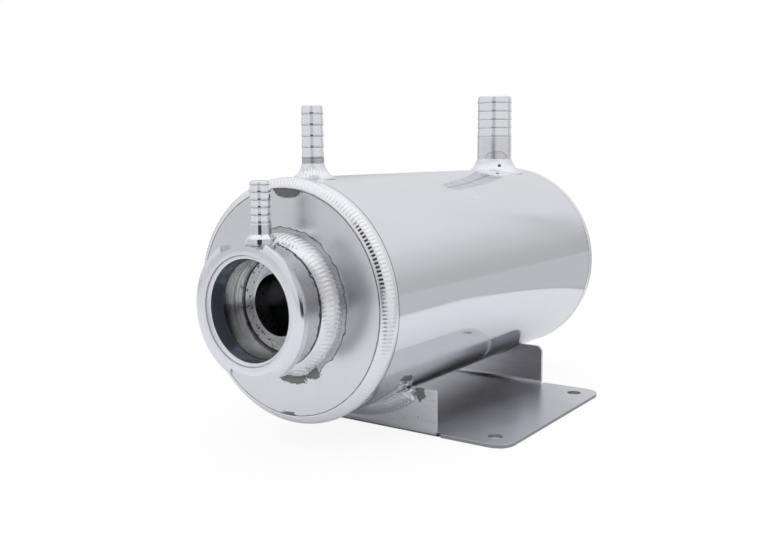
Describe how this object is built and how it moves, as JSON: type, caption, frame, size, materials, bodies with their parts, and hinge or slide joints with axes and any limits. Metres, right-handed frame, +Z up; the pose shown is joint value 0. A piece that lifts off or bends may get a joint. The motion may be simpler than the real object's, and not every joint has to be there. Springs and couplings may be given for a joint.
{
  "type": "coolant expansion tank",
  "caption": "Welded aluminium coolant expansion tank: a closed tube with a filler neck at one end, hose barbs on top and a folded mounting bracket below.",
  "frame": {"origin": "on the underside of the mounting bracket, straight below the tank's axis and midway between the front and rear bolt holes", "axes": "+Z up out of the bracket's underside, Y along the tank's axis with the filler neck at -Y, +X to the right seen from the neck"},
  "size_m": [0.1467, 0.2266, 0.152],
  "materials": {
    "polished_tube": "polished",
    "satin_plate": "satin",
    "machined_neck": "machined and polished",
    "machined_barb": "machined",
    "brushed_sheet": "brushed",
    "weld_bead": "as welded"
  },
  "bodies": {
    "root": {"tank_tube": "polished_tube", "front_end_plate": "satin_plate", "rear_end_plate": "satin_plate", "filler_neck": "machined_neck", "overflow_barb": "machined_barb", "front_hose_barb": "machined_barb", "rear_hose_barb": "machined_barb", "mounting_bracket": "brushed_sheet", "front_rim_weld": "weld_bead", "rear_rim_weld": "weld_bead", "neck_weld": "weld_bead", "front_barb_weld": "weld_bead", "rear_barb_weld": "weld_bead", "front_bracket_weld": "weld_bead", "rear_bracket_weld": "weld_bead"}
  },
  "joints": []
}
